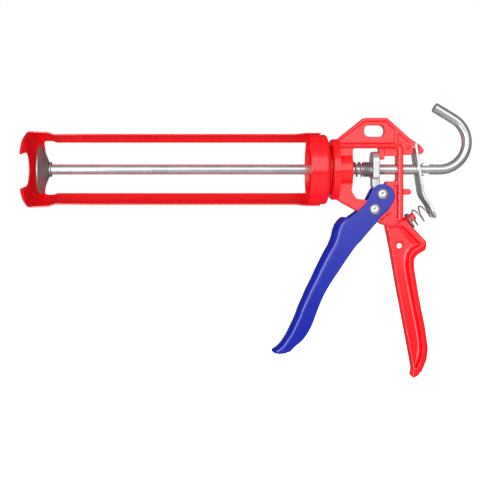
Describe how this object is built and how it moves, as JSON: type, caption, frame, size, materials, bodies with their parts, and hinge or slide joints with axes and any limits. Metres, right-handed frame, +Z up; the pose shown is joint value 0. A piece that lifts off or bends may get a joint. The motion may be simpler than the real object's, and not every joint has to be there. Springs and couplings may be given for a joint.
{
  "type": "caulking gun",
  "caption": "Hand-held cartridge gun: open swivelling cradle, round push rod with hook and disc, lever trigger with friction drive dog, and a sprung catch plate.",
  "frame": {"origin": "centre of the hand grip, on the gun's mid-plane", "axes": "+X along the push rod towards the hook, +Z up from the grip to the rod, +Y across the gun, away from the cradle's open side"},
  "size_m": [0.357, 0.059, 0.2192],
  "materials": {
    "red_paint": "gloss red enamel",
    "blue_paint": "gloss blue enamel",
    "bright_steel": "bright zinc-plated steel",
    "dark_steel": "plain hardened steel, lightly oiled"
  },
  "bodies": {
    "handle": {"handle_body": "red_paint", "swivel_retainer": "dark_steel", "swivel_washer": "red_paint", "drive_spring": "dark_steel", "catch_spring": "dark_steel"},
    "carriage": {"carriage_frame": "red_paint", "rear_cup": "red_paint"},
    "plunger": {"plunger_disc": "bright_steel"},
    "rod": {"push_rod": "bright_steel", "plunger_collar": "bright_steel", "plunger_lock_washer": "dark_steel", "plunger_nut": "bright_steel"},
    "trigger_lever": {"trigger": "blue_paint", "pivot_rivet": "bright_steel", "drive_rivet": "bright_steel"},
    "dog": {"drive_dog": "dark_steel"},
    "catch": {"catch_plate": "bright_steel"}
  },
  "joints": [
    {"name": "carriage_swivel", "type": "hinge", "parent": "handle", "child": "carriage", "pos_m": [-0.062, 0, 0.098], "axis": [1, 0, 0], "continuous": true},
    {"name": "rod_slide", "type": "slide", "parent": "handle", "child": "plunger", "axis": [1, 0, 0], "range_m": [0, 0.215]},
    {"name": "rod_spin", "type": "hinge", "parent": "plunger", "child": "rod", "pos_m": [-0.284, 0, 0.098], "axis": [1, 0, 0], "continuous": true},
    {"name": "trigger_pivot", "type": "hinge", "parent": "handle", "child": "trigger_lever", "pos_m": [-0.0251, 0, 0.0665], "axis": [0, -1, 0], "range_deg": [0, 30], "stiffness_Nm_per_rad": 0.2, "springref_deg": -34.38, "deforming": ["drive_spring"]},
    {"name": "dog_pivot", "type": "hinge", "parent": "trigger_lever", "child": "dog", "pos_m": [-0.0189, 0, 0.0786], "axis": [0, -1, 0], "range_deg": [-30, 0]},
    {"name": "catch_tilt", "type": "hinge", "parent": "handle", "child": "catch", "pos_m": [0.0073, 0, 0.116], "axis": [0, 1, 0], "range_deg": [0, 9.5], "stiffness_Nm_per_rad": 0.1, "springref_deg": -17.19, "deforming": ["catch_spring"]}
  ],
  "couplings": [
    {"joint": "dog_pivot", "follows": "trigger_pivot", "ratio": -1}
  ]
}
